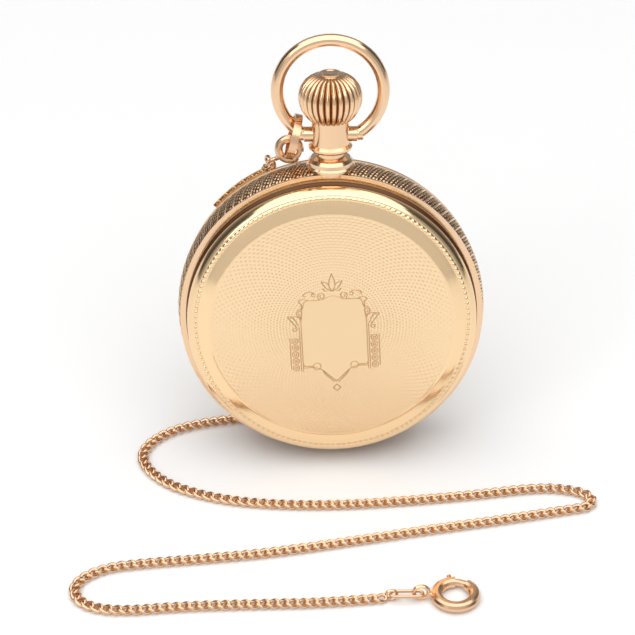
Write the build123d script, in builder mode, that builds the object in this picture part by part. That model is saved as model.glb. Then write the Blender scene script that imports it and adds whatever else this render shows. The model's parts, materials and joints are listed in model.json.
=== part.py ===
from build123d import *
import os
from math import atan2, cos, degrees, pi, radians, sin, tan

# Hunter pocket watch of the small ladies' size with a curb chain, standing on the edge of its case and
# leaning back. Millimetres, +Z up, dial side towards -Y, origin on the table under the middle of the case.
# Every watch piece is drawn in the watch's own frame: X to the right, Y towards the pendant, Z to the front.

# ---- driving dimensions ----
LEAN = 9.0                 # how far the watch leans back from upright, degrees
BAND_R = 20.5              # case band, largest radius
BAND_HALF = 3.0            # half the band's width
FLANGE_R = 20.3            # rims of the band
BORE_R = 17.42             # bore of the band, holds the main plate
COVER_R = 19.5             # covers, outer radius at the lip
COVER_RISE = 3.6           # height of a cover above the band
CREASE_R = 16.3            # edge of the covers' flat middle
SHELL = 0.45               # thickness of the covers
SEAM = 0.06                # gap between a closed cover and the band
HINGE_OUT = 19.6           # hinge axes, distance below the watch's centre
KNUCKLE_R = 0.45
PIN_R = 0.2
RUN = 0.03                 # running clearance on radius
PLATE_R = 17.36            # main plate, 6-size movement
PLATE_TOP = 1.0            # dial side of the main plate
PLATE_LOW = -0.2           # train side of the main plate
BRIDGE_LOW = -2.2          # train side of the three-quarter plate
BRIDGE_OUT = -3.2          # outer side of the three-quarter plate
BRIDGE_R = 15.6
DIAL_Z = 2.35              # back of the dial
DIAL_R = 16.2
PENDANT_R = 2.48
PENDANT_TOP = 26.95
PIVOT_Y = 24.9             # bow pivot
BOW_R = 6.95               # bow, middle of the wire
BOW_WIRE = 1.65
BOW_CENTRE = 30.96
CROWN_R = 4.2
CROWN_LOW = 27.05
CROWN_TOP = 33.45
CROWN_RIBS = 28
CHAIN_D = 1.5
STRIP_R = 2.85             # strip ring on the bow, middle of the strip
TOP_RING_R = 1.4           # spring ring at the bow
TOP_RING_WIRE = 1.1
CLASP_R = 2.45             # spring ring clasp at the far end
CLASP_WIRE = 1.5

tilt = radians(LEAN)
centre_height = FLANGE_R * cos(tilt) + BAND_HALF * sin(tilt)
watch = Plane(origin=(0, 0, centre_height), x_dir=(1, 0, 0), z_dir=(0, -cos(tilt), sin(tilt)))
across = Plane(origin=watch.origin, x_dir=watch.x_dir, z_dir=-watch.y_dir)  # X and the watch's Z
side = Plane(origin=watch.origin, x_dir=watch.y_dir, z_dir=watch.x_dir)     # Y and the watch's Z
turn_axis = Axis(watch.origin, watch.z_dir)
pendant_axis = Axis(watch.origin, watch.y_dir)

os.makedirs("parts", exist_ok=True)


def at(x, y, z):
    """A point of the watch's frame in the model's frame."""
    return watch.origin + watch.x_dir * x + watch.y_dir * y + watch.z_dir * z


def along(x, y, z):
    """A direction of the watch's frame in the model's frame."""
    return watch.x_dir * x + watch.y_dir * y + watch.z_dir * z


def polar(radius, angle, origin=(0, 0)):
    return (origin[0] + radius * cos(radians(angle)), origin[1] + radius * sin(radians(angle)))


def outline(plane, *points):
    """A face on a plane inside a closed line of corners."""
    with BuildSketch(plane) as face:
        with BuildLine():
            Polyline(*points, close=True)
        make_face()
    return face.sketch


def placed(place, facing, *points):
    """Points drawn round (0, 0) along X, moved to a place and turned to a heading in degrees."""
    c, s = cos(radians(facing)), sin(radians(facing))
    return [(place[0] + c * x - s * y, place[1] + s * x + c * y) for x, y in points]


def disc(height, radius, place=(0, 0), bore=0.0):
    """A round face square to the watch's axis, with a hole if bore is given."""
    with BuildSketch(watch.offset(height)) as face:
        with Locations(place):
            Circle(radius)
            if bore:
                Circle(bore, mode=Mode.SUBTRACT)
    return face.sketch


def toothed(plane, teeth, module, place, facing, gap=False, bore=0.0, addendum=0.8):
    """A wheel's face: tapered teeth, thinner than their gaps. A tooth, or a gap, points along facing."""
    step = 2 * pi / teeth
    start = radians(facing) + (step / 2 if gap else 0)
    root = (teeth / 2 - 1.1) * module
    tip = (teeth / 2 + addendum) * module
    points = []
    for i in range(teeth):
        for radius, share in ((root, -0.23), (tip, -0.1), (tip, 0.1), (root, 0.23)):
            turn = start + (i + share) * step
            points.append((place[0] + radius * cos(turn), place[1] + radius * sin(turn)))
    with BuildSketch(plane) as face:
        with BuildLine():
            Polyline(*points, close=True)
        make_face()
        if bore:
            with Locations(place):
                Circle(bore, mode=Mode.SUBTRACT)
    return face.sketch


def towards(start, end):
    """The heading, in degrees, from one place on the dial plane to another."""
    return degrees(atan2(end[1] - start[1], end[0] - start[0]))


def rod(place, *steps):
    """A turned arbor on the dial plane: each step is a radius and the Z it starts and ends at."""
    with BuildPart() as arbor:
        for radius, low, high in steps:
            extrude(disc(low, radius, place), amount=high - low)
    return arbor.part


# ---- case: band with hinge knuckles ----
HINGE_HALF = 3.3           # half the length of a hinge
hinge_spans = {"case": ((-HINGE_HALF, -2.2), (-0.6, 0.6), (2.2, HINGE_HALF)),
               "cover": ((-2.17, -0.63), (0.63, 2.17))}
back_spans = ((-2.17, -1.43), (1.43, 2.17))
inner_spans = ((-1.4, -0.63), (0.63, 1.4))
hinge_pockets = ((-2.2, -0.6), (0.6, 2.2))
lip_notches = ((-HINGE_HALF - 0.05, -2.17), (-0.63, 0.63), (2.17, HINGE_HALF + 0.05))
LEDGE_R = 16.5
LEDGE = 0.55
REBATE_R = 18.25
REBATE = 0.75


def knuckles(spans, height, radius=KNUCKLE_R, bore=0.0):
    """Hinge barrels along X at a hinge axis, as one shape."""
    with BuildPart() as barrels:
        for low, high in spans:
            with BuildSketch(side.offset(low)):
                with Locations((-HINGE_OUT, height)):
                    Circle(radius)
                    if bore:
                        Circle(bore, mode=Mode.SUBTRACT)
            extrude(amount=high - low)
    return barrels.part


with BuildPart() as case_band:
    with BuildSketch(across):
        with BuildLine():
            Polyline(
                (BORE_R, PLATE_LOW), (BORE_R, BAND_HALF - REBATE), (REBATE_R, BAND_HALF - REBATE),
                (REBATE_R, BAND_HALF), (FLANGE_R, BAND_HALF), (FLANGE_R, BAND_HALF - 0.4),
                (FLANGE_R - 0.25, BAND_HALF - 0.5),
            )
            ThreePointArc(
                (FLANGE_R - 0.25, BAND_HALF - 0.5), (BAND_R, 0), (FLANGE_R - 0.25, 0.5 - BAND_HALF)
            )
            Polyline(
                (FLANGE_R - 0.25, 0.5 - BAND_HALF), (FLANGE_R, 0.4 - BAND_HALF),
                (FLANGE_R, -BAND_HALF), (BORE_R, -BAND_HALF), (BORE_R, PLATE_LOW - LEDGE),
                (LEDGE_R, PLATE_LOW - LEDGE), (LEDGE_R, PLATE_LOW), (BORE_R, PLATE_LOW),
            )
        make_face()
    revolve(axis=turn_axis)
    for height in (BAND_HALF, -BAND_HALF):
        add(knuckles(hinge_pockets, height, KNUCKLE_R + 0.08), mode=Mode.SUBTRACT)
        add(knuckles(hinge_spans["case"], height))
        add(knuckles(((-HINGE_HALF, HINGE_HALF),), height, PIN_R), mode=Mode.SUBTRACT)
    with BuildSketch(Plane(at(0, 19.9, 0), x_dir=watch.x_dir, z_dir=watch.y_dir)):
        Circle(3.25)
    extrude(amount=2, mode=Mode.SUBTRACT)
    with BuildSketch(Plane(at(0, 16, 0), x_dir=watch.x_dir, z_dir=watch.y_dir)):
        Circle(1.75)
    extrude(amount=5, mode=Mode.SUBTRACT)

for name, height in (("front_hinge_pin", BAND_HALF), ("back_hinge_pin", -BAND_HALF)):
    with BuildPart() as hinge_pin:
        with BuildSketch(side.offset(-HINGE_HALF)):
            with Locations((-HINGE_OUT, height)):
                Circle(PIN_R)
        extrude(amount=2 * HINGE_HALF)
    hinge_pin.part.label = name
    export_step(hinge_pin.part, f"parts/{name}.step")


# ---- case: covers ----
def cover_section(sign):
    """Half section of a cover: lip, cove, reeded ring, bead line, bevel and flat middle."""
    low = BAND_HALF + SEAM
    top = BAND_HALF + COVER_RISE
    rim = ((COVER_R, low), (COVER_R, 3.35), (19.12, 3.75), (19.0, 4.25), (19.3, 4.4), (19.25, 5.0),
           (18.85, 5.6), (18.3, 5.9), (17.9, 5.98), (CREASE_R, top), (0, top))
    wall = ((0, top - SHELL), (CREASE_R - 0.15, top - SHELL), (17.7, 5.5), (18.25, 5.3), (18.6, 4.7),
            (18.55, 4.1), (18.65, 3.65), (COVER_R - 0.5, 3.3), (COVER_R - 0.5, low))
    return outline(across, *((r, sign * z) for r, z in rim + wall))


def leaf(spans, sign, inner, thickness):
    """The tabs that join a cover to its hinge barrels."""
    with BuildPart() as tabs:
        for low, high in spans:
            with BuildSketch(watch.offset(sign * (BAND_HALF + SEAM))):
                with Locations(((low + high) / 2, -(HINGE_OUT + inner) / 2)):
                    Rectangle(high - low, HINGE_OUT - inner)
            extrude(amount=sign * thickness)
    return tabs.part


with BuildPart() as front_cover:
    revolve(cover_section(1), axis=turn_axis)
    add(knuckles(lip_notches, BAND_HALF, KNUCKLE_R + 0.08), mode=Mode.SUBTRACT)
    add(leaf(hinge_spans["cover"], 1, COVER_R - 0.4, 0.4))
    add(knuckles(hinge_spans["cover"], BAND_HALF))
    add(knuckles(hinge_spans["cover"], BAND_HALF, PIN_R + RUN), mode=Mode.SUBTRACT)

LIP_MIDDLE, LIP_ANGLE, LIP_OUT = 127, 24, 0.3
with BuildPart() as back_cover:
    revolve(cover_section(-1), axis=turn_axis)
    add(knuckles(lip_notches, -BAND_HALF, KNUCKLE_R + 0.08), mode=Mode.SUBTRACT)
    with BuildSketch(watch.offset(-BAND_HALF - SEAM)):
        with Locations((0, -COVER_R)):
            Rectangle(2 * (inner_spans[1][1] + 0.04), 2.0)
    extrude(amount=-0.5, mode=Mode.SUBTRACT)
    add(leaf(back_spans, -1, COVER_R - 0.4, 0.4))
    add(knuckles(back_spans, -BAND_HALF))
    add(knuckles(back_spans, -BAND_HALF, PIN_R + RUN), mode=Mode.SUBTRACT)
    with BuildSketch(watch.offset(-BAND_HALF - SEAM)) as thumb:
        with BuildLine():
            half = LIP_ANGLE / 2
            arc = CenterArc((0, 0), BAND_R + LIP_OUT, LIP_MIDDLE - half, LIP_ANGLE)
            back = CenterArc((0, 0), COVER_R - 0.3, LIP_MIDDLE - half, LIP_ANGLE)
            Line(arc @ 0, back @ 0)
            Line(arc @ 1, back @ 1)
        make_face()
    extrude(amount=-0.35)

CUVETTE_R = 18.7
with BuildPart() as inner_cover:
    revolve(
        outline(
            across, (CUVETTE_R, -3.06), (CUVETTE_R, -3.4), (17.5, -3.6), (16.6, -4.75), (0, -4.85),
            (0, -4.45), (16.3, -4.4), (17.1, -3.3), (17.8, -3.06),
        ),
        axis=turn_axis,
    )
    add(leaf(inner_spans, -1, CUVETTE_R - 0.3, 0.3))
    add(knuckles(inner_spans, -BAND_HALF))
    add(knuckles(inner_spans, -BAND_HALF, PIN_R + RUN), mode=Mode.SUBTRACT)

# ---- case: bezel and crystal ----
GLASS_R = 16.9
with BuildPart() as bezel:
    revolve(
        outline(
            across, (REBATE_R - 0.03, 2.28), (REBATE_R - 0.03, 3.2), (17.7, 4.3), (16.5, 4.3),
            (16.5, 4.05), (GLASS_R + 0.03, 4.05), (GLASS_R + 0.03, 3.35), (16.5, 3.35), (16.5, 2.8),
            (17.3, 2.28),
        ),
        axis=turn_axis,
    )

GLASS_TOP, BEVEL_R = 5.25, 14.6   # height of the flat glass, and where its bevel starts
with BuildPart() as crystal:
    revolve(
        outline(
            across, (0, GLASS_TOP), (BEVEL_R, GLASS_TOP), (GLASS_R - 0.6, 4.0), (GLASS_R, 4.0),
            (GLASS_R, 3.4), (GLASS_R - 0.6, 3.4), (BEVEL_R - 0.2, GLASS_TOP - 0.5),
            (0, GLASS_TOP - 0.5),
        ),
        axis=turn_axis,
    )

# ---- pendant, bow and crown ----
BOSS_OUT = 3.47
BOW_START = -56.5           # where the bow's ring begins, degrees from level
PIN_HOLE = 0.45
with BuildPart() as pendant:
    revolve(
        outline(
            watch, (0.95, 19.0), (1.75, 19.0), (1.75, 19.9), (3.23, 19.9), (3.23, 20.6), (3.0, 20.8),
            (2.96, 21.3), (2.6, 21.7), (1.86, 21.85), (1.86, 22.7), (2.6, 22.8), (2.88, 23.1),
            (2.88, 23.35), (PENDANT_R, 23.7), (PENDANT_R, PENDANT_TOP), (0.95, PENDANT_TOP),
        ),
        axis=pendant_axis,
    )
    for facing in (-1, 1):
        with BuildSketch(side.offset(facing * 2.0)):
            with Locations((PIVOT_Y, 0)):
                Circle(1.0)
        extrude(amount=facing * (BOSS_OUT - 2.0))
        with BuildSketch(side.offset(facing * 2.4)):
            with Locations((PIVOT_Y, 0)):
                Circle(PIN_HOLE)
        extrude(amount=facing * 2, mode=Mode.SUBTRACT)

with BuildPart() as bow:
    bow_middle = at(0, BOW_CENTRE, 0)
    bow_start = along(*polar(1, BOW_START), 0)
    with BuildSketch(Plane(bow_middle, x_dir=bow_start, z_dir=bow_start.cross(watch.z_dir))):
        with Locations((BOW_R, 0)):
            RegularPolygon(BOW_WIRE / 2, 16)
    revolve(axis=Axis(bow_middle, watch.z_dir), revolution_arc=180 - 2 * BOW_START)
    for facing in (-1, 1):
        with BuildSketch(side.offset(facing * (BOSS_OUT + 0.05))):
            with Locations((PIVOT_Y, 0)):
                Circle(BOW_WIRE / 2)
        extrude(amount=facing * 0.75)
        with BuildSketch(side.offset(facing * 2.5)):
            with Locations((PIVOT_Y, 0)):
                Circle(PIN_HOLE - 0.04)
        extrude(amount=facing * 1.2)

WAIST_R, BUTTON_R = 2.8, 1.45
FLUTE_DEEP, GROOVE = 0.75, 0.5   # depth of the crown's grooves, and half their width at the mouth
with BuildPart() as crown:
    with BuildSketch(watch):
        with BuildLine():
            Polyline(
                (0.62, 30.0), (0.62, 28.1), (PENDANT_R + 0.06, 28.1), (PENDANT_R + 0.06, CROWN_LOW),
                (WAIST_R, CROWN_LOW),
            )
            ThreePointArc((WAIST_R, CROWN_LOW), (4.05, 29.1), (CROWN_R, 30.33))
            ThreePointArc((CROWN_R, 30.33), (3.3, 32.3), (BUTTON_R, 33.2))
            Polyline(
                (BUTTON_R, 33.2), (BUTTON_R, CROWN_TOP), (1.1, CROWN_TOP), (1.0, 33.3), (0, 33.3),
                (0, 30.0), (0.62, 30.0),
            )
        make_face()
    revolve(axis=pendant_axis)
    groove = outline(
        Plane(at(0, CROWN_LOW, 0), x_dir=watch.x_dir, z_dir=watch.y_dir),
        (CROWN_R + 0.3, -GROOVE), (CROWN_R + 0.3, GROOVE), (CROWN_R - FLUTE_DEEP, 0),
    )
    flute = extrude(groove, amount=CROWN_TOP - CROWN_LOW, mode=Mode.PRIVATE)
    add(
        [flute.rotate(pendant_axis, 360 / CROWN_RIBS * i) for i in range(CROWN_RIBS)],
        mode=Mode.SUBTRACT,
    )

for piece, name in ((case_band, "case_band"), (front_cover, "front_cover"), (back_cover, "back_cover"),
                    (inner_cover, "inner_cover"), (bezel, "bezel"), (crystal, "crystal"),
                    (pendant, "pendant"), (bow, "bow"), (crown, "crown")):
    piece.part.label = name
    export_step(piece.part, f"parts/{name}.step")

# ---- dial side: dial and hands ----
SECONDS = (7.5, 0.0)       # seconds hand, right of the centre
DIAL = 0.4
with BuildPart() as dial:
    with BuildSketch(watch.offset(DIAL_Z)):
        Circle(DIAL_R)
        Circle(0.95, mode=Mode.SUBTRACT)
        with Locations(SECONDS):
            Circle(0.36, mode=Mode.SUBTRACT)
    extrude(amount=DIAL)
    with BuildSketch(watch.offset(DIAL_Z)):
        with PolarLocations(14.6, 3, start_angle=75):
            Circle(0.35)
    extrude(amount=0.2 - DIAL_Z)


def hand(height, thickness, place, hub, bore, length, tail, width, facing):
    """A flat spade-shaped hand lying along facing."""
    with BuildPart() as shape:
        with BuildSketch(watch.offset(height)):
            with Locations(place):
                Circle(hub)
            spade = placed(
                place, facing, (-tail, -width / 2), (length * 0.6, -width / 3),
                (length * 0.72, -width * 0.8), (length, 0), (length * 0.72, width * 0.8),
                (length * 0.6, width / 3), (-tail, width / 2),
            )
            with BuildLine():
                Polyline(*spade, close=True)
            make_face()
            with Locations(place):
                Circle(bore, mode=Mode.SUBTRACT)
        extrude(amount=thickness)
    return shape.part


with BuildPart() as hour_hand:
    add(hand(3.0, 0.13, (0, 0), 1.15, 0.85, 8.6, 0, 0.7, 125))
with BuildPart() as minute_hand:
    add(hand(3.28, 0.13, (0, 0), 0.9, 0.5, 13.2, 0, 0.6, 60))
with BuildPart() as seconds_hand:
    add(hand(2.83, 0.08, SECONDS, 0.45, 0.2, 3.4, 1.2, 0.22, 20))

# ---- movement: plates ----
BARREL = polar(7.04, 159.83)
THIRD = (4.44, 3.81)
ESCAPE = (7.4, -3.85)
PALLET = (5.4, -5.66)
BALANCE = (1.8, -8.9)
CROWN_WHEEL = (0.0, 8.9)
MINUTE = polar(3.6, 205)
PILLARS = [polar(14.3, angle) for angle in (20, 62, 150, 205, 318)]
PIVOT = 0.2                # pivots of the train
PIVOT_HOLE = PIVOT + RUN
JEWEL_R = 0.55             # jewels round the pivots
CENTRE_R = 0.35            # centre arbor
JEWELLED = [THIRD, SECONDS, ESCAPE]
COCK_FOOT = (-5.5, -12.9)
PALLET_FOOT = (9.4, -7.2)
PALLET_COCK = -1.15        # pallet cock, underside
PINION_WINDOW = (11.2, 12.58)
CLICK = (-13.2, 0.05)
SPRING_POST = (-9.6, -5.4)
SCREW_SPOTS = [polar(16.1, angle) for angle in (42, 228)]

with BuildPart() as main_plate:
    add(extrude(disc(PLATE_LOW, PLATE_R), amount=PLATE_TOP - PLATE_LOW))
    with BuildSketch(watch.offset(PLATE_LOW)):
        with Locations(*PILLARS):
            Circle(0.75)
    extrude(amount=BRIDGE_LOW - PLATE_LOW)
    with BuildSketch(watch.offset(PLATE_LOW)):
        with Locations(PALLET_FOOT):
            Rectangle(1.4, 1.4)
    extrude(amount=PALLET_COCK - PLATE_LOW)
    with BuildSketch(watch.offset(PLATE_LOW)):
        with Locations(CROWN_WHEEL):
            Circle(1.2)
        with Locations(COCK_FOOT):
            Rectangle(3.0, 2.2)
    extrude(amount=BRIDGE_LOW - PLATE_LOW)
    with BuildSketch(watch.offset(BRIDGE_LOW)):
        with Locations(CROWN_WHEEL):
            Circle(0.8)
    extrude(amount=-3.65 - BRIDGE_LOW)
    with BuildSketch(watch.offset(PLATE_LOW)):
        with Locations((0, 14.4)):
            Rectangle(3.8, 3.6)
    extrude(amount=-1.4)
    with BuildSketch(watch.offset(-2)):
        with Locations((0, (PINION_WINDOW[0] + PINION_WINDOW[1]) / 2)):
            Rectangle(4.9, PINION_WINDOW[1] - PINION_WINDOW[0])
    extrude(amount=4, mode=Mode.SUBTRACT)
    with BuildSketch(Plane(at(0, 9.9, 0), x_dir=watch.x_dir, z_dir=watch.y_dir)):
        Circle(0.43)
    extrude(amount=2, mode=Mode.SUBTRACT)
    with BuildSketch(Plane(at(0, 12, 0), x_dir=watch.x_dir, z_dir=watch.y_dir)):
        Circle(0.93)
    extrude(amount=6, mode=Mode.SUBTRACT)
    with BuildSketch(watch.offset(-1)):
        Circle(CENTRE_R + RUN)
        with Locations(BARREL):
            Circle(0.5 + RUN)
        with Locations(*JEWELLED, PALLET, BALANCE):
            Circle(JEWEL_R)
        with Locations(*SCREW_SPOTS):
            Circle(0.36)
        with PolarLocations(14.6, 3, start_angle=75):
            Circle(0.36)
    extrude(amount=3, mode=Mode.SUBTRACT)
    with BuildSketch(watch.offset(PLATE_TOP)):
        with Locations(MINUTE):
            Circle(0.4)
    extrude(amount=1.15)

with BuildPart() as three_quarter_plate:
    with BuildSketch(watch.offset(BRIDGE_LOW)):
        Circle(BRIDGE_R)
        with Locations(BALANCE):
            Circle(6.3, mode=Mode.SUBTRACT)
        with Locations((0.3, -14.0)):
            Rectangle(15.8, 6.0, mode=Mode.SUBTRACT)
        with Locations(CROWN_WHEEL):
            Circle(4.1, mode=Mode.SUBTRACT)
        Circle(CENTRE_R + RUN, mode=Mode.SUBTRACT)
        with Locations(BARREL):
            Circle(0.7 + RUN, mode=Mode.SUBTRACT)
        with Locations(*JEWELLED):
            Circle(JEWEL_R, mode=Mode.SUBTRACT)
        with Locations(*PILLARS):
            Circle(0.36, mode=Mode.SUBTRACT)
    extrude(amount=BRIDGE_OUT - BRIDGE_LOW)
    with BuildSketch(watch.offset(BRIDGE_OUT)):
        with Locations(CLICK, SPRING_POST):
            Circle(0.35)
    extrude(amount=-0.5)

with BuildPart() as plate_screws:
    for spot_xy in PILLARS:
        extrude(disc(BRIDGE_LOW, 0.36, spot_xy), amount=BRIDGE_OUT - BRIDGE_LOW)
        extrude(disc(BRIDGE_OUT, 0.95, spot_xy), amount=-0.4)

with BuildPart() as case_screws:
    for spot_xy in SCREW_SPOTS:
        extrude(disc(0.7, 0.33, spot_xy), amount=PLATE_LOW - LEDGE - 0.7)
        extrude(disc(PLATE_LOW - LEDGE, 0.9, spot_xy), amount=-0.45)

with BuildPart() as pallet_cock:
    with BuildSketch(watch.offset(PALLET_COCK)):
        with Locations(PALLET, PALLET_FOOT):
            Circle(0.75)
        with BuildLine():
            Polyline(
                (PALLET[0] - 0.3, PALLET[1] - 0.6), (PALLET_FOOT[0] - 0.3, PALLET_FOOT[1] - 0.6),
                (PALLET_FOOT[0] + 0.3, PALLET_FOOT[1] + 0.6), (PALLET[0] + 0.3, PALLET[1] + 0.6),
                close=True,
            )
        make_face()
        with Locations(PALLET):
            Circle(PIVOT_HOLE, mode=Mode.SUBTRACT)
    extrude(amount=-0.22)

with BuildPart() as balance_cock:
    with BuildSketch(watch.offset(BRIDGE_LOW)):
        with Locations(COCK_FOOT):
            Rectangle(3.0, 2.2)
        with Locations(BALANCE):
            Circle(1.7)
        with BuildLine():
            Polyline(
                (-7.0, -13.0), (-4.6, -14.0), (BALANCE[0] + 0.8, BALANCE[1] - 1.5),
                (BALANCE[0] - 0.9, BALANCE[1] + 1.44), close=True,
            )
        make_face()
        with Locations(BALANCE):
            Circle(JEWEL_R, mode=Mode.SUBTRACT)
    extrude(amount=-0.8)
    with BuildSketch(watch.offset(BRIDGE_LOW)):
        with Locations(polar(2.75, 210, BALANCE)):
            Rectangle(0.3, 0.3)
    extrude(amount=0.3)

with BuildPart() as regulator:
    with BuildSketch(watch.offset(BRIDGE_LOW - 0.85)):
        with Locations(BALANCE):
            Circle(1.3)
        with Locations(Location((BALANCE[0], BALANCE[1], 0), 210)):
            with Locations((3.0, 0)):
                Rectangle(4.6, 0.35)
        with Locations(BALANCE):
            Circle(0.8, mode=Mode.SUBTRACT)
    extrude(amount=-0.2)

with BuildPart() as jewels:
    for place in (*JEWELLED, PALLET, BALANCE):
        extrude(disc(-0.2, JEWEL_R, place, PIVOT_HOLE), amount=0.4)
    for place in (*JEWELLED, BALANCE):
        extrude(disc(BRIDGE_LOW, JEWEL_R, place, PIVOT_HOLE), amount=-0.5)

# ---- movement: going train ----
with BuildPart() as barrel:
    extrude(
        toothed(watch.offset(-0.45), 78, 0.16, BARREL, towards(BARREL, (0, 0)), bore=0.93), amount=-0.4
    )
    extrude(disc(-0.85, 5.7, BARREL, 5.35), amount=-0.75)
    extrude(disc(-1.6, 5.7, BARREL, 0.93), amount=-0.15)
    with BuildSketch(watch.offset(-1.6)):
        with Locations(BARREL):
            with PolarLocations(3.3, 4):
                Circle(0.8)
    extrude(amount=-0.15, mode=Mode.SUBTRACT)

with BuildPart() as barrel_arbor:
    add(rod(BARREL, (0.5, 0.6, -0.35), (0.9, -0.35, -2.15), (0.7, -2.15, -3.25), (0.6, -3.25, -3.65)))


def coil(height, depth, width, place, first, pitch, half_turns):
    """A flat spiral spring of half circles, each wider than the last."""
    centre, radius, facing = place, first, 0
    with BuildSketch(watch.offset(height)) as strip:
        for _ in range(half_turns):
            with BuildLine():
                outer = CenterArc(centre, radius + width / 2, facing, 180)
                inner = CenterArc(centre, radius - width / 2, facing, 180)
                Line(outer @ 0, inner @ 0)
                Line(outer @ 1, inner @ 1)
            make_face()
            centre = (centre[0] + (pitch / 2 if facing == 0 else -pitch / 2), centre[1])
            radius = radius + pitch / 2
            facing = 180 - facing
    return extrude(strip.sketch, amount=depth)


with BuildPart() as mainspring:
    add(coil(-0.95, -0.55, 0.3, BARREL, 1.05, 0.8, 10))
with BuildPart() as hairspring:
    add(coil(-1.95, -0.12, 0.12, BALANCE, 0.45, 0.42, 10))


def wheel(height, teeth, module, place, facing, holes, depth=-0.15, **kwargs):
    """A flat wheel with round openings between its arms."""
    with BuildPart() as blank:
        extrude(toothed(watch.offset(height), teeth, module, place, facing, **kwargs), amount=depth)
        radius = (teeth / 2 - 1.1) * module
        with BuildSketch(watch.offset(height)):
            with Locations(place):
                with PolarLocations(radius * 0.58, holes, start_angle=20):
                    Circle(radius * 0.27)
        extrude(amount=depth, mode=Mode.SUBTRACT)
    return blank.part


def pinion(height, depth, leaves, module, place, facing):
    """A pinion whose gap, not its leaf, points along facing."""
    face = toothed(watch.offset(height), leaves, module, place, facing, gap=True, addendum=0.6)
    return extrude(face, amount=depth)


with BuildPart() as center_wheel:
    add(rod((0, 0), (CENTRE_R, 3.45, -2.9), (0.6, -0.95, -2.12)))
    add(pinion(-0.35, -0.6, 10, 0.16, (0, 0), towards((0, 0), BARREL)))
    add(wheel(-1.95, 80, 0.13, (0, 0), towards((0, 0), THIRD), 5, depth=-0.17))

with BuildPart() as third_wheel:
    add(rod(THIRD, (PIVOT, 0.15, -2.65), (0.35, -0.3, -2.15)))
    add(pinion(-1.75, -0.4, 10, 0.13, THIRD, towards(THIRD, (0, 0))))
    add(wheel(-0.55, 75, 0.115, THIRD, towards(THIRD, SECONDS), 5))

with BuildPart() as fourth_wheel:
    add(rod(SECONDS, (PIVOT, 2.98, -2.65), (0.35, -0.3, -2.1)))
    add(pinion(-0.4, -0.5, 10, 0.115, SECONDS, towards(SECONDS, THIRD)))
    add(wheel(-1.45, 70, 0.1, SECONDS, towards(SECONDS, ESCAPE), 4))

with BuildPart() as escape_wheel:
    add(rod(ESCAPE, (PIVOT, 0.15, -2.65), (0.26, -0.3, -2.1)))
    add(pinion(-1.3, -0.4, 7, 0.1, ESCAPE, towards(ESCAPE, SECONDS)))
    with BuildSketch(watch.offset(-0.9)):
        with Locations(ESCAPE):
            Circle(1.75)
            Circle(1.35, mode=Mode.SUBTRACT)
            Rectangle(3.2, 0.3)
            Rectangle(0.3, 3.2)
        for i in range(15):
            with BuildLine():
                tooth = ((1.7, -0.15), (2.27, 0.25), (2.25, 0.37), (1.7, 0.2))
                Polyline(*placed(ESCAPE, 24 * i, *tooth), close=True)
            make_face()
    extrude(amount=-0.15)

with BuildPart() as pallet_fork:
    add(rod(PALLET, (PIVOT, 0.15, -1.34), (0.4, -0.3, -1.1)))
    with BuildSketch(watch.offset(-0.9)):
        with Locations(PALLET):
            Circle(0.5)
        with BuildLine():
            outer = ((1.15, 2.0), (1.2, 2.25), (0.7, 2.4), (-0.35, 1.1), (-0.5, 0.2), (-3.7, 0.15),
                     (-3.92, 0.4), (-4.0, 0.35), (-3.8, 0))
            inner = ((0.8, -2.05), (0.1, -1.0), (0.1, 1.0), (0.8, 2.05))
            mirrored = [(x, -y) for x, y in reversed(outer[:-1])]
            fork = placed(PALLET, towards(PALLET, ESCAPE), *outer, *mirrored, *inner)
            Polyline(*fork, close=True)
        make_face()
    extrude(amount=-0.15)

RIM_R = 5.4
with BuildPart() as balance_wheel:
    add(rod(BALANCE, (PIVOT, 0.15, -2.65), (0.32, -0.3, -2.1), (0.9, -1.12, -1.27)))
    with BuildSketch(watch.offset(-1.45)):
        with Locations(Location((BALANCE[0], BALANCE[1], 0), 12)):
            Circle(RIM_R)
            Circle(RIM_R - 0.5, mode=Mode.SUBTRACT)
            Rectangle(2 * RIM_R - 0.6, 0.6)
    extrude(amount=-0.3)
    for i in range(8):
        spoke = Plane(at(BALANCE[0], BALANCE[1], -1.6), x_dir=watch.z_dir,
                      z_dir=along(*polar(1, 34.5 + 45 * i), 0))
        with BuildSketch(spoke.offset(RIM_R - 0.1)):
            RegularPolygon(0.28, 6)
        extrude(amount=0.45)

# ---- movement: winding and motion works ----
with BuildPart() as ratchet_wheel:
    extrude(
        toothed(watch.offset(-3.25), 44, 0.25, BARREL, towards(BARREL, CROWN_WHEEL), gap=True, bore=0.6),
        amount=-0.4,
    )

with BuildPart() as ratchet_screw:
    extrude(disc(-3.65, 1.4, BARREL), amount=-0.3)
    with BuildSketch(watch.offset(-3.95)):
        with Locations(BARREL):
            Rectangle(3.0, 0.3)
    extrude(amount=0.15, mode=Mode.SUBTRACT)

with BuildPart() as crown_wheel:
    extrude(
        toothed(watch.offset(-3.25), 30, 0.25, CROWN_WHEEL, towards(CROWN_WHEEL, BARREL), bore=0.83),
        amount=-0.4,
    )
    extrude(disc(-3.25, 3.4, CROWN_WHEEL, 2.6), amount=1.0)
    with BuildSketch(watch.offset(-2.25)):
        with Locations(CROWN_WHEEL):
            with PolarLocations(3.0, 30, start_angle=96):
                Rectangle(0.8, 0.2)
    extrude(amount=0.33)

with BuildPart() as crown_wheel_screw:
    extrude(disc(-3.68, 1.5, CROWN_WHEEL), amount=-0.27)
    with BuildSketch(watch.offset(-3.95)):
        with Locations(CROWN_WHEEL):
            Rectangle(3.2, 0.3)
    extrude(amount=0.12, mode=Mode.SUBTRACT)

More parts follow.
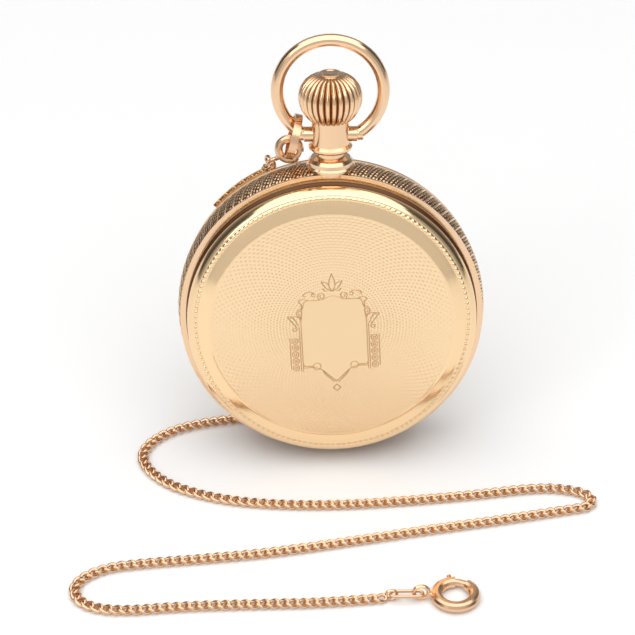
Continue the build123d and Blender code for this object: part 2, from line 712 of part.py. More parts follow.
with BuildPart() as click:
    with BuildSketch(watch.offset(BRIDGE_OUT - 0.05)):
        with Locations(CLICK):
            Circle(0.75)
        with BuildLine():
            nose = polar(5.85, 213, BARREL)
            Polyline((CLICK[0] - 0.7, CLICK[1] - 0.2), (nose[0] - 0.3, nose[1] - 0.5), nose,
                     (CLICK[0] + 0.7, CLICK[1] + 0.2), close=True)
        make_face()
        with Locations(CLICK):
            Circle(0.38, mode=Mode.SUBTRACT)
    extrude(amount=-0.3)

with BuildPart() as click_spring:
    with BuildSketch(watch.offset(BRIDGE_OUT)):
        with Locations(SPRING_POST):
            Circle(0.6)
        with BuildLine():
            Polyline((-10.1, -5.7), (-9.4, -4.9), (-13.1, -1.25), (-13.25, -1.4), close=True)
        make_face()
        with Locations(SPRING_POST):
            Circle(0.35, mode=Mode.SUBTRACT)
    extrude(amount=-0.25)

STEM_R = 0.6
SOCKET = 0.42              # half the stem's square
pinion_plane = Plane(at(0, 11.45, 0), x_dir=watch.x_dir, z_dir=watch.y_dir)
with BuildPart() as winding_pinion:
    extrude(toothed(pinion_plane, 20, 0.2, (0, 0), 90, addendum=1.0), amount=0.9)
    with BuildSketch(pinion_plane.offset(-1.2)):
        Circle(0.4)
    extrude(amount=1.2)
    with BuildSketch(pinion_plane.offset(0.9)):
        Circle(0.9)
    extrude(amount=3.8)
    with BuildSketch(pinion_plane.offset(2.2)):
        Rectangle(2 * SOCKET + 0.06, 2 * SOCKET + 0.06)
    extrude(amount=3, mode=Mode.SUBTRACT)

with BuildPart() as pendant_stem:
    with BuildSketch(Plane(at(0, 14.3, 0), x_dir=watch.x_dir, z_dir=watch.y_dir)):
        Rectangle(2 * SOCKET, 2 * SOCKET)
    extrude(amount=2.6)
    with BuildSketch(Plane(at(0, 16.9, 0), x_dir=watch.x_dir, z_dir=watch.y_dir)):
        Circle(STEM_R)
    extrude(amount=30 - 16.9)

with BuildPart() as stem_sleeve:
    with BuildSketch(Plane(at(0, 20, 0), x_dir=watch.x_dir, z_dir=watch.y_dir)):
        Circle(0.95)
        Circle(STEM_R + RUN, mode=Mode.SUBTRACT)
    extrude(amount=4.5)

with BuildPart() as cannon_pinion:
    extrude(disc(PLATE_TOP + 0.15, 0.5, (0, 0), CENTRE_R), amount=2.26)
    face = toothed(watch.offset(1.2), 10, 0.18, (0, 0), towards((0, 0), MINUTE), addendum=0.6,
                   bore=CENTRE_R)
    extrude(face, amount=0.45)

with BuildPart() as minute_wheel:
    face = toothed(watch.offset(1.22), 30, 0.18, MINUTE, towards(MINUTE, (0, 0)), gap=True, bore=0.43)
    extrude(face, amount=0.3)
    face = toothed(watch.offset(1.52), 10, 0.144, MINUTE, towards(MINUTE, (0, 0)), gap=True, bore=0.43,
                   addendum=0.6)
    extrude(face, amount=0.5)

with BuildPart() as hour_wheel:
    extrude(toothed(watch.offset(1.75), 40, 0.144, (0, 0), towards((0, 0), MINUTE), bore=0.53),
            amount=0.2)
    extrude(disc(1.75, 0.85, (0, 0), 0.53), amount=1.4)

# ---- lid springs ----
with BuildPart() as lift_spring:
    with BuildSketch(watch.offset(1.2)) as blade:
        with BuildLine():
            tip = CenterArc((0, 0), 17.3, 296, 60)
            heel = CenterArc((0, 0), 16.95, 296, 60)
            Line(tip @ 0, heel @ 0)
            Line(tip @ 1, heel @ 1)
        make_face()
    extrude(amount=0.7)
with BuildPart() as lock_spring:
    with BuildSketch(watch.offset(1.2)) as blade:
        with BuildLine():
            tip = CenterArc((0, 0), 17.3, 100, 40)
            heel = CenterArc((0, 0), 16.95, 100, 40)
            Line(tip @ 0, heel @ 0)
            Line(tip @ 1, heel @ 1)
        make_face()
    extrude(amount=0.7)

movement = {
    "dial": dial, "hour_hand": hour_hand, "minute_hand": minute_hand, "seconds_hand": seconds_hand,
    "main_plate": main_plate, "three_quarter_plate": three_quarter_plate, "plate_screws": plate_screws,
    "case_screws": case_screws, "pallet_cock": pallet_cock, "balance_cock": balance_cock,
    "regulator": regulator, "jewels": jewels, "barrel": barrel, "barrel_arbor": barrel_arbor,
    "mainspring": mainspring, "hairspring": hairspring, "center_wheel": center_wheel,
    "third_wheel": third_wheel, "fourth_wheel": fourth_wheel, "escape_wheel": escape_wheel,
    "pallet_fork": pallet_fork, "balance_wheel": balance_wheel, "ratchet_wheel": ratchet_wheel,
    "ratchet_screw": ratchet_screw, "crown_wheel": crown_wheel, "crown_wheel_screw": crown_wheel_screw,
    "click": click, "click_spring": click_spring, "winding_pinion": winding_pinion,
    "pendant_stem": pendant_stem, "stem_sleeve": stem_sleeve, "cannon_pinion": cannon_pinion,
    "minute_wheel": minute_wheel, "hour_wheel": hour_wheel, "lift_spring": lift_spring,
    "lock_spring": lock_spring,
}
for name, piece in movement.items():
    piece.part.label = name
    export_step(piece.part, f"parts/{name}.step")

# ---- chain: fittings at the bow ----
bow_side = along(-0.25, -0.968, 0).normalized()
strip_middle = at(-4.85, 24.6, 0)
with BuildPart() as bow_ring:
    with BuildSketch(Plane(strip_middle, x_dir=bow_side, z_dir=watch.z_dir)):
        with Locations((STRIP_R, 0)):
            Rectangle(0.4, 1.0)
    revolve(axis=Axis(strip_middle, watch.z_dir.cross(bow_side)))


def round_plane(centre, normal, zero, angle):
    """The plane through an axis at an angle round it from zero: X outwards, Y along the axis."""
    out = zero * cos(radians(angle)) + normal.cross(zero) * sin(radians(angle))
    return Plane(centre, x_dir=out, z_dir=out.cross(normal))


def tube_arc(centre, normal, zero, radius, tube, start=0.0, end=360.0, sides=12):
    """A bent round bar of many flats, turned about the normal from one angle to another."""
    with BuildSketch(round_plane(centre, normal, zero, start)) as section:
        with Locations((radius, 0)):
            RegularPolygon(tube, sides, rotation=180 / sides)
    return revolve(section.sketch, axis=Axis(centre, normal), revolution_arc=end - start)


KNOB, TAIL, SLOT, BORE, MOUTH, NOSE = 80, 74, (33, 85), (28, 135), (92, 130), 133


def spring_ring(centre, normal, eye, eye_normal, radius, wire, eye_radius, eye_wire):
    """A hollow ring with an open mouth, a slot for the bolt's knob, a neck and an eye."""
    zero = (eye - centre - normal * (eye - centre).dot(normal)).normalized()
    root = centre + zero * (radius + wire * 0.25)
    out = (eye - root).normalized()
    with BuildPart() as body:
        add(tube_arc(centre, normal, zero, radius, wire / 2))
        add(tube_arc(centre, normal, zero, radius, wire * 0.32 + RUN, *BORE), mode=Mode.SUBTRACT)
        add(tube_arc(centre, normal, zero, radius, wire / 2 + 0.05, *MOUTH), mode=Mode.SUBTRACT)
        with BuildSketch(round_plane(centre, normal, zero, SLOT[0])):
            with Locations((radius + wire / 2, 0)):
                Rectangle(wire, wire * 0.3)
        revolve(axis=Axis(centre, normal), revolution_arc=SLOT[1] - SLOT[0], mode=Mode.SUBTRACT)
        with BuildSketch(Plane(root, z_dir=out)):
            Circle(eye_wire * 0.7)
        extrude(amount=(eye - root).length - eye_radius)
        add(tube_arc(eye, eye_normal, out, eye_radius, eye_wire / 2, sides=8))
    return body.part


def spring_bolt(centre, normal, eye, radius, wire):
    """The sliding bolt that shuts a spring ring's mouth, with its thumb knob."""
    zero = (eye - centre - normal * (eye - centre).dot(normal)).normalized()
    knob = round_plane(centre, normal, zero, KNOB).x_dir
    with BuildPart() as bolt:
        add(tube_arc(centre, normal, zero, radius, wire * 0.32, TAIL, NOSE))
        with BuildSketch(Plane(centre + knob * radius, z_dir=knob)):
            Circle(wire * 0.11)
        extrude(amount=wire * 0.75)
        with BuildSketch(Plane(centre + knob * (radius + wire * 0.6), z_dir=knob)):
            Circle(wire * 0.2)
        extrude(amount=wire * 0.28)
    return bolt.part


def loop(centre, normal, radius, wire):
    """A closed jump ring."""
    return tube_arc(centre, normal, Plane(centre, z_dir=normal).x_dir, radius, wire / 2, sides=8)


top_face = along(-0.061, 0.132, 0.989).normalized()
top_middle = at(-5.44, 22.28, -1.38)
hang = along(-0.394, -0.557, -0.732).normalized()
jump_middle = at(-7.95, 19.6, -3.6)
top_eye = jump_middle - hang * 1.16
jump_face = along(-0.724, -0.304, 0.618).normalized()
with BuildPart() as top_clasp_ring:
    eye_face = hang.cross(along(-0.02, 0.42, 0.905)).normalized()
    add(spring_ring(top_middle, top_face, top_eye, eye_face, TOP_RING_R, TOP_RING_WIRE, 0.8, 0.44))
with BuildPart() as top_clasp_bolt:
    add(spring_bolt(top_middle, top_face, top_eye, TOP_RING_R, TOP_RING_WIRE))
with BuildPart() as top_jump_ring:
    add(loop(jump_middle, jump_face, 0.85, 0.44))

# ---- chain: its route, and the fittings at its far end ----
CHAIN_Z = CHAIN_D / 2
joint_spot = (-12.35, 1.7, CHAIN_Z)
drop_route = [
    (-8.1, 6.9, 38.7), (-8.9, 10.9, 38.9), (-9.8, 13.0, 34.2), (-10.5, 12.6, 24.5), (-9.9, 13.2, 13.5),
    (-10.4, 13.2, 4.8), (-7.5, 12.2, CHAIN_Z), (-3.6, 7.6, CHAIN_Z), (-6.2, 2.5, CHAIN_Z), joint_spot,
]
run_corners = [
    (-18.5, 0.9), (-24.4, -2.4), (-26.6, -7.2), (-23.2, -12.6), (-17.4, -15.8), (-10.5, -17.6),
    (-0.5, -18.2), (9.0, -17.5), (18.7, -16.4), (27.6, -14.9), (32.2, -15.5), (34.7, -17.0),
    (34.3, -19.2), (31.3, -19.8), (23.1, -21.6), (13.5, -23.4), (4.0, -25.4), (-8.1, -27.9),
    (-17.3, -29.0), (-24.7, -29.7), (-30.3, -30.6), (-34.0, -33.6), (-33.2, -37.4), (-28.8, -39.3),
    (-19.5, -38.4), (-10.4, -38.2), (-1.0, -38.1), (6.0, -37.35),
]
run_route = [joint_spot] + [(x, y, CHAIN_Z) for x, y in run_corners]


def bends(corners):
    """The largest easy bend at each corner of a route, with room left for its neighbours."""
    radii = []
    for before, here, after in zip(corners, corners[1:], corners[2:]):
        arriving = Vector(*here) - Vector(*before)
        leaving = Vector(*after) - Vector(*here)
        turn = radians(arriving.get_angle(leaving))
        radii.append(min(0.45 * min(arriving.length, leaving.length) / tan(turn / 2), 60))
    return radii


def cord(corners):
    """A round cord along a route with rounded corners."""
    with BuildPart() as tube:
        with BuildLine() as line:
            FilletPolyline(*corners, radius=bends(corners))
        with BuildSketch(Plane(line.line @ 0, z_dir=line.line % 0)):
            Circle(CHAIN_D / 2)
        sweep()
    return tube.part


with BuildPart() as chain_drop:
    add(cord(drop_route))
with BuildPart() as chain_run:
    add(cord(run_route))

end_middle = Vector(6.9, -37.15, 0.9)
LINK_Z, LINK_HALF = 1.0, 0.55
link_ends = (6.75 + LINK_HALF, 10.9 - LINK_HALF)
clasp_middle = Vector(15.1, -37.15, CLASP_WIRE / 2)
clasp_eye = Vector(10.7, -37.15, 1.25)
down = Vector(0, 0, -1)
away = Vector(0, 1, 0)
with BuildPart() as end_ring:
    add(loop(end_middle, away, 0.7, 0.4))
with BuildPart() as long_link:
    with BuildLine(Plane((0, end_middle.Y, LINK_Z))) as link_line:
        near = CenterArc((link_ends[0], 0), LINK_HALF, 90, 180)
        far = CenterArc((link_ends[1], 0), LINK_HALF, -90, 180)
        Line(near @ 1, far @ 0)
        Line(far @ 1, near @ 0)
    with BuildSketch(Plane((link_ends[0] - LINK_HALF, end_middle.Y, LINK_Z), z_dir=(0, -1, 0))):
        RegularPolygon(0.22, 8)
    sweep()
with BuildPart() as clasp_ring:
    add(spring_ring(clasp_middle, down, clasp_eye, away, CLASP_R, CLASP_WIRE, 0.95, 0.54))
with BuildPart() as clasp_bolt:
    add(spring_bolt(clasp_middle, down, clasp_eye, CLASP_R, CLASP_WIRE))

chain = {
    "bow_ring": bow_ring, "top_clasp_ring": top_clasp_ring, "top_clasp_bolt": top_clasp_bolt,
    "top_jump_ring": top_jump_ring, "chain_drop": chain_drop, "chain_run": chain_run,
    "end_ring": end_ring, "long_link": long_link, "clasp_ring": clasp_ring, "clasp_bolt": clasp_bolt,
}
for name, piece in chain.items():
    piece.part.label = name
    export_step(piece.part, f"parts/{name}.step")
    if name.startswith("chain"):
        print(name, "radius", CHAIN_D / 2)
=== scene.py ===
import bpy
import json
import math
import numpy as np
from mathutils import Matrix, Vector


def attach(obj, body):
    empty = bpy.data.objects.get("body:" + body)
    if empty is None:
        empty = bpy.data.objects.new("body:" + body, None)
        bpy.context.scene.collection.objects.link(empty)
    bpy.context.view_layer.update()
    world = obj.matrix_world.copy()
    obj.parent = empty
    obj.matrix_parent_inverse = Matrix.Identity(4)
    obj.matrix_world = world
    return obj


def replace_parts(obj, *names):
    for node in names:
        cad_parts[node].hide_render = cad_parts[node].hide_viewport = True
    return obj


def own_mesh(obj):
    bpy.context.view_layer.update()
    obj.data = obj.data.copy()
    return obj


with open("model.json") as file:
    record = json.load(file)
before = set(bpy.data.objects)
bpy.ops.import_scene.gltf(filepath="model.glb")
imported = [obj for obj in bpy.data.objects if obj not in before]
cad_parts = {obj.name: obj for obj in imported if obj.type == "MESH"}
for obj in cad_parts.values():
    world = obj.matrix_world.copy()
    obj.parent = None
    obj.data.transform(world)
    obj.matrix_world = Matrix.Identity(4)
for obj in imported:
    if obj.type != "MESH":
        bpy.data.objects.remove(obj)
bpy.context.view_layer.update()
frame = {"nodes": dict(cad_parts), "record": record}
nodes = frame["nodes"]
MM = 0.001
TAU = 2 * math.pi

# ---- the watch's own frame: X right, Y to the pendant, Z to the front, in millimetres ----
LEAN = math.radians(9)
BAND_R, BAND_HALF, FLANGE_R, COVER_R = 20.5, 3.0, 20.3, 19.5
CREASE_R, COVER_TOP = 16.3, 6.6
centre_height = FLANGE_R * math.cos(LEAN) + BAND_HALF * math.sin(LEAN)
X_AXIS = Vector((1, 0, 0))
Y_AXIS = Vector((0, math.sin(LEAN), math.cos(LEAN)))
Z_AXIS = Vector((0, -math.cos(LEAN), math.sin(LEAN)))
WATCH = Matrix.Translation((0, 0, centre_height * MM)) @ Matrix(
    [[X_AXIS[i] * MM, Y_AXIS[i] * MM, Z_AXIS[i] * MM, 0] for i in range(3)] + [[0, 0, 0, 1]])


def in_watch(points):
    """Watch millimetres to metres in the row frame, for an array that ends in X, Y, Z."""
    flat = np.asarray(points, float).reshape(-1, 3)
    moved = flat @ np.array(WATCH.to_3x3()).T + np.array(WATCH.translation)
    return moved.reshape(np.shape(points))


# ---- camera, as in the photograph ----
DISTANCE, ELEVATION, AZIMUTH = 0.360, math.radians(34.05), math.radians(-1.27)
LENS, SENSOR = 150.88819, 36        # millimetres
SHIFT = (-0.0214646, -0.0186772)    # shares of the picture's width
aim = Vector((0, 0, centre_height * MM))
toward = Vector((math.sin(AZIMUTH) * math.cos(ELEVATION), -math.cos(AZIMUTH) * math.cos(ELEVATION),
                 math.sin(ELEVATION)))
camera = bpy.data.objects.new("camera", bpy.data.cameras.new("camera"))
bpy.context.scene.collection.objects.link(camera)
camera.location = aim + toward * DISTANCE
camera.rotation_euler = (-toward).to_track_quat("-Z", "Y").to_euler()
camera.data.sensor_width = SENSOR
camera.data.lens = LENS
camera.data.shift_x, camera.data.shift_y = SHIFT
camera.data.clip_start = 0.01
bpy.context.scene.camera = camera


# ---- materials ----
def material(name, color, metallic=1.0, roughness=0.2, **sockets):
    """A Principled material; its other sockets are given by name with underscores for spaces."""
    made = bpy.data.materials.new(name)
    made.use_nodes = True
    shader = made.node_tree.nodes["Principled BSDF"]
    shader.inputs["Base Color"].default_value = (*color, 1)
    shader.inputs["Metallic"].default_value = metallic
    shader.inputs["Roughness"].default_value = roughness
    for socket, value in sockets.items():
        shader.inputs[socket.replace("_", " ")].default_value = value
    return made


def worn(made, scale, low, high):
    """Roughness that wanders between two values, as handling leaves it."""
    tree = made.node_tree
    where = tree.nodes.new("ShaderNodeTexCoord")
    noise = tree.nodes.new("ShaderNodeTexNoise")
    noise.inputs["Scale"].default_value = scale
    noise.inputs["Detail"].default_value = 4
    spread = tree.nodes.new("ShaderNodeMapRange")
    spread.inputs["To Min"].default_value = low
    spread.inputs["To Max"].default_value = high
    tree.links.new(where.outputs["Object"], noise.inputs["Vector"])
    tree.links.new(noise.outputs["Fac"], spread.inputs["Value"])
    tree.links.new(spread.outputs["Result"], tree.nodes["Principled BSDF"].inputs["Roughness"])
    return made


YELLOW = (0.92, 0.67, 0.40)
ROSE = (0.78, 0.51, 0.32)
gold = worn(material("polished gold", YELLOW), 900, 0.1, 0.18)
engraved = worn(material("engraved gold", (0.92, 0.68, 0.42)), 1200, 0.18, 0.26)
# the plaque's gold is a darker copy of the case gold: painted shade that keeps the smooth plaque from
# looking brighter than the engine turning round it
shaded_plaque_gold = worn(material("plaque gold", (0.86, 0.63, 0.38)), 1200, 0.12, 0.2)
fittings = worn(material("fittings gold", (0.87, 0.60, 0.38)), 900, 0.14, 0.22)
milled = worn(material("milled gold", (0.88, 0.60, 0.36)), 900, 0.2, 0.3)
# darker gold for the cartouche's lines: painted shade standing for the shade inside engraved cuts
shaded_cut_line = worn(material("cut line", (0.60, 0.37, 0.19)), 1500, 0.3, 0.4)
# darker gold for the crown's flute valleys: painted shade
groove = worn(material("shaded groove", (0.42, 0.23, 0.12)), 900, 0.25, 0.35)
# near-black gold, painted shade for the seam at each cover's lip and for the ground between the band's ribs
recess = worn(material("darkened recess", (0.15, 0.075, 0.04)), 1500, 0.4, 0.55)
chain_gold = worn(material("chain gold", ROSE), 900, 0.18, 0.28)
gilt = worn(material("gilt movement", (0.85, 0.64, 0.33)), 1500, 0.3, 0.42)
steel = worn(material("polished steel", (0.62, 0.63, 0.66)), 1500, 0.16, 0.26)
blued = worn(material("blued steel", (0.03, 0.06, 0.28)), 1500, 0.2, 0.3)
enamel = worn(material("white enamel", (0.93, 0.92, 0.88), metallic=0.0), 600, 0.09, 0.16)
paint = worn(material("black enamel", (0.015, 0.015, 0.02), metallic=0.0), 1500, 0.25, 0.35)
ruby = worn(material("ruby", (0.55, 0.02, 0.08), metallic=0.0), 1500, 0.05, 0.1)
glass = material("crystal", (1, 1, 1), metallic=0.0, roughness=0.0, Transmission_Weight=1.0, IOR=1.45)

by_slot = {
    "gold_case": gold, "gold_chain": chain_gold, "gilt_movement": gilt, "steel": steel,
    "hands": blued, "crystal": glass, "enamel": enamel, "jewel": ruby,
}
by_node = {name: fittings for name in ("pendant", "bow", "crown", "case_band")}
for part in frame["record"]["subparts"]:
    node = nodes[part["node"]]
    node.data.materials.clear()
    node.data.materials.append(by_node.get(part["node"], by_slot[part["material_slot"]]))


EDGE = math.radians(60)     # edges sharper than this stay sharp


def finish_edges(obj, angle=EDGE):
    """Smooth shading that keeps edges sharper than the angle."""
    for polygon in obj.data.polygons:
        polygon.use_smooth = True
    obj.data.set_sharp_from_angle(angle=angle)


def add_mesh(name, points, faces, look, body):
    """A mesh piece in the row frame that rides on a body."""
    mesh = bpy.data.meshes.new(name)
    mesh.from_pydata([tuple(p) for p in np.asarray(points).reshape(-1, 3)], [], faces)
    mesh.materials.append(look)
    obj = bpy.data.objects.new(name, mesh)
    bpy.context.scene.collection.objects.link(obj)
    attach(obj, body)
    return obj


def grid_faces(rows, columns, wrap, start=0):
    """Quads over a grid of points, closed round the columns if wrap is set."""
    last = columns if wrap else columns - 1
    return [(start + r * columns + c, start + r * columns + (c + 1) % columns,
             start + (r + 1) * columns + (c + 1) % columns, start + (r + 1) * columns + c)
            for r in range(rows - 1) for c in range(last)]


def grid(name, points, look, body, angle=EDGE):
    """A piece whose surface is a closed grid of points in metres, shape (rows, columns, 3)."""
    rows, columns = points.shape[:2]
    obj = add_mesh(name, points, grid_faces(rows, columns, True), look, body)
    finish_edges(obj, angle)
    return obj


# ---- chain: its line, and curb links along it ----
CHAIN_D, PITCH = 1.5, 1.25          # millimetres
CHAIN_Z = CHAIN_D / 2               # a cord's middle where it lies on the floor
LINK_SINK = 0.2                     # links are thinner than the cord, so they lie this much lower
LINK_WIRE, LINK_LONG, LINK_WIDE = 0.25, 0.86, 0.55      # radii of the wire and of the link's middle line
LINK_TWIST, LINK_EDGE = math.radians(48), math.radians(70)
STEEP, STEEP_SOFT = 0.3, 0.6        # rise of the route from which links turn to lie against the case
SINK_SOFT = 0.7                     # height over which they come down to the floor
UP, BEHIND = np.array([0.0, 0.0, 1.0]), np.array([0.0, 1.0, 0.0])
joint_spot = (-12.35, 1.7, CHAIN_Z)
drop_route = [
    (-8.1, 6.9, 38.4), (-8.4, 8.3, 37.6), (-8.8, 9.6, 35.0), (-9.6, 11.2, 29.5), (-10.4, 12.4, 21.0),
    (-9.9, 13.2, 13.5), (-10.4, 13.2, 4.8), (-7.5, 12.2, CHAIN_Z), (-3.6, 7.6, CHAIN_Z),
    (-6.2, 2.5, CHAIN_Z), joint_spot,
]
run_corners = [
    (-18.5, 0.9), (-24.4, -2.4), (-26.6, -7.2), (-23.2, -12.6), (-17.4, -15.8), (-10.5, -17.6),
    (-0.5, -18.2), (9.0, -17.5), (18.7, -16.4), (27.6, -14.9), (32.2, -15.5), (34.7, -17.0),
    (34.3, -19.2), (31.3, -19.8), (23.1, -21.6), (13.5, -23.4), (4.0, -25.4), (-8.1, -27.9),
    (-17.3, -29.0), (-24.7, -29.7), (-30.3, -30.6), (-34.0, -33.6), (-33.2, -37.4), (-28.8, -39.3),
    (-19.5, -38.4), (-10.4, -38.2), (-1.0, -38.1), (6.0, -37.35),
]
run_route = [joint_spot] + [(x, y, CHAIN_Z) for x, y in run_corners]


def line_through(name, corners):
    """Points along the smooth line that a route's control points give, in metres."""
    curve = bpy.data.curves.new(name, "CURVE")
    curve.dimensions = "3D"
    curve.resolution_u = 24
    spline = curve.splines.new("NURBS")
    spline.points.add(len(corners) - 1)
    for point, corner in zip(spline.points, corners):
        point.co = (*(c * MM for c in corner), 1)
    spline.order_u = 3
    spline.use_endpoint_u = True
    obj = bpy.data.objects.new(name, curve)
    bpy.context.scene.collection.objects.link(obj)
    bpy.context.view_layer.update()
    mesh = bpy.data.meshes.new_from_object(obj.evaluated_get(bpy.context.evaluated_depsgraph_get()))
    points = np.array([v.co for v in mesh.vertices])
    bpy.data.meshes.remove(mesh)
    bpy.data.objects.remove(obj)
    bpy.data.curves.remove(curve)
    return points


def spaced(points, step):
    """Points, headings and the whole length, at even steps along a line."""
    lengths = np.r_[0, np.cumsum(np.linalg.norm(np.diff(points, axis=0), axis=1))]
    count = int(round(lengths[-1] / step))
    places = (np.arange(count) + 0.5) * lengths[-1] / count
    spots = np.array([np.interp(places, lengths, points[:, i]) for i in range(3)]).T
    near = step * 0.3
    ahead = np.array([np.interp(places + near, lengths, points[:, i]) for i in range(3)]).T
    behind = np.array([np.interp(places - near, lengths, points[:, i]) for i in range(3)]).T
    headings = ahead - behind
    return spots, headings / np.linalg.norm(headings, axis=1)[:, None], lengths[-1]


def one_link(around=28, sides=8):
    """A curb link round its own middle, long way on X: an oval of wire whose ends twist opposite ways."""
    turn = np.arange(around) * TAU / around
    middle = np.c_[LINK_LONG * np.cos(turn), LINK_WIDE * np.sin(turn), np.zeros(around)]
    outward = np.c_[LINK_WIDE * np.cos(turn), LINK_LONG * np.sin(turn), np.zeros(around)]
    outward /= np.linalg.norm(outward, axis=1)[:, None]
    ring = np.arange(sides) * TAU / sides
    tube = (middle[:, None] + LINK_WIRE * (np.cos(ring)[None, :, None] * outward[:, None]
            + np.sin(ring)[None, :, None] * UP))
    twist = LINK_TWIST * tube[..., 0] / LINK_LONG
    y, z = tube[..., 1].copy(), tube[..., 2].copy()
    tube[..., 1] = y * np.cos(twist) - z * np.sin(twist)
    tube[..., 2] = y * np.sin(twist) + z * np.cos(twist)
    faces = grid_faces(around, sides, True)
    last = (around - 1) * sides
    faces += [(last + s, last + (s + 1) % sides, (s + 1) % sides, s) for s in range(sides)]
    return tube.reshape(-1, 3) * MM, faces


def chain(name, corners):
    """The links of a chain along a route, lying flat on the floor where the route does."""
    line = line_through(name + "_line", corners)
    spots, headings, length = spaced(line, PITCH * MM)
    link, link_faces = one_link()
    points, faces = [], []
    for spot, heading in zip(spots, headings):
        upright = np.clip((abs(heading[2]) - STEEP) / STEEP_SOFT, 0, 1)
        level = (1 - upright) * UP + upright * BEHIND
        across = np.cross(level, heading)
        across /= np.linalg.norm(across)
        face_up = np.cross(heading, across)
        low = np.clip((CHAIN_D - spot[2] / MM) / SINK_SOFT, 0, 1) * LINK_SINK * MM
        start = len(points) * len(link)
        points.append(spot - [0, 0, low] + link @ np.array([heading, across, face_up]))
        faces += [tuple(start + i for i in face) for face in link_faces]
    obj = add_mesh(name, np.concatenate(points), faces, chain_gold, "case")
    finish_edges(obj, LINK_EDGE)
    return obj, line, length


chain_drop, drop_line, drop_length = chain("chain_drop_links", drop_route)
chain_run, run_line, run_length = chain("chain_run_links", run_route)
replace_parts(chain_drop, "chain_drop")
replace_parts(chain_run, "chain_run")
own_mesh(chain_drop)
print("chain lengths", round(drop_length / MM, 1), round(run_length / MM, 1))


# ---- covers: a decorated skin over each ----
SKIN = 0.02                 # how far a skin stands off the solid
OVERLAY = SKIN + 0.01       # the same for a cover's flat middle and the lines on it
PLAQUE = SKIN + 0.03        # the same for the bare plaque
SEAM_SHADE_TOP = 4.3              # the skin is painted dark below this height: painted shade in the seam by the band
BEADS, BEAD_RISE = 150, 0.12
BEAD_BAND = (17.92, 18.42, 0.12)    # inner and outer radius of the row of beads, and its soft edge
MIDDLE_R, HUB_R = 16.1, 0.5         # the flat middle runs from one to the other, and is closed inside
GUILLOCHE_WAVES = 120       # grains round each ring
GUILLOCHE_STEP, GUILLOCHE_DEEP = 0.42, 0.014
GUILLOCHE_RING = 0.5        # share of plain rings in the pattern
GUILLOCHE_FADE = 6.0        # the grains flatten inside this radius
# a cover's outside, as radius and height above the watch's middle plane
rim_profile = [
    (COVER_R, 3.3), (19.42, 3.5), (19.2, 3.72), (19.08, 4.0), (19.1, 4.25), (19.3, 4.4), (19.33, 4.6),
    (19.3, 4.95), (19.15, 5.3), (18.9, 5.6), (18.62, 5.8), (18.35, 5.9), (18.2, 5.94), (18.05, 5.96),
    (17.9, 5.98), (17.4, 6.19), (16.9, 6.385), (16.5, 6.54), (CREASE_R, COVER_TOP), (MIDDLE_R, 6.61),
]


def between(value, low, high, soft):
    """1 inside a range, 0 outside it, with soft edges."""
    return np.clip((value - low) / soft, 0, 1) * np.clip((high - value) / soft, 0, 1)


def cover_skin(name, sign, body, columns=BEADS * 8, rows=70):
    """The outer surface of a cover from its lip to its middle. sign is 1 for the front, -1 for the back."""
    corners = np.array(rim_profile)
    run = np.r_[0, np.cumsum(np.linalg.norm(np.diff(corners, axis=0), axis=1))]
    steps = np.linspace(0, run[-1], rows)
    radius, height = np.interp(steps, run, corners[:, 0]), np.interp(steps, run, corners[:, 1])
    turn = np.arange(columns) * TAU / columns
    r, t = radius[:, None] + 0 * turn, turn[None, :] + 0 * radius[:, None]
    beads = BEAD_RISE * np.abs(np.sin(t * BEADS / 2)) ** 0.7 * between(radius[:, None], *BEAD_BAND)
    rise, spread = np.gradient(height), np.gradient(radius)
    slant = np.hypot(rise, spread)
    lift = SKIN + beads
    r = r + lift * (rise / slant)[:, None]
    z = height[:, None] - lift * (spread / slant)[:, None]
    obj = grid(name, in_watch(np.stack([r * np.cos(t), r * np.sin(t), sign * z], -1)), gold, body)
    # faces below the seam height take the near-black recess gold: painted shade in the seam between cover
    # and band
    obj.data.materials.append(recess)
    for face in obj.data.polygons:
        face.material_index = int(height[face.index // columns] < SEAM_SHADE_TOP)


def engine_turned(made):
    """Gives a material the bump of engine-turned rings of grains about the watch's middle."""
    tree = made.node_tree
    link = tree.links.new

    def math_node(operation, first, second):
        node = tree.nodes.new("ShaderNodeMath")
        node.operation = operation
        for socket, value in zip(node.inputs, (first, second)):
            if isinstance(value, (int, float)):
                socket.default_value = value
            else:
                link(value, socket)
        return node.outputs["Value"]

    where = tree.nodes.new("ShaderNodeTexCoord").outputs["Object"]
    flat = []
    for direction in (X_AXIS, Y_AXIS):
        dot = tree.nodes.new("ShaderNodeVectorMath")
        dot.operation = "DOT_PRODUCT"
        dot.inputs[1].default_value = direction
        link(where, dot.inputs[0])
        flat.append(math_node("SUBTRACT", dot.outputs["Value"], WATCH.translation.dot(direction)))
    squares = [math_node("POWER", way, 2) for way in flat]
    radius = math_node("SQRT", math_node("ADD", *squares), 0)
    turn = math_node("ARCTAN2", flat[1], flat[0])
    wave = math_node("SINE", math_node("MULTIPLY", turn, GUILLOCHE_WAVES), 0)
    other = math_node("SINE", math_node("MULTIPLY", radius, TAU / (2 * GUILLOCHE_STEP * MM)), 0)
    ring = math_node("SINE", math_node("MULTIPLY", radius, TAU / (GUILLOCHE_STEP * MM)), 0)
    full = math_node("MINIMUM", math_node("MULTIPLY", radius, 1 / (GUILLOCHE_FADE * MM)), 1)
    grain = math_node("MULTIPLY", math_node("MULTIPLY", wave, other), full)
    ripple = math_node("ADD", math_node("MULTIPLY", ring, GUILLOCHE_RING), grain)
    bump = tree.nodes.new("ShaderNodeBump")
    bump.inputs["Strength"].default_value = 1
    bump.inputs["Distance"].default_value = GUILLOCHE_DEEP * MM
    link(ripple, bump.inputs["Height"])
    link(bump.outputs["Normal"], tree.nodes["Principled BSDF"].inputs["Normal"])


engine_turned(engraved)


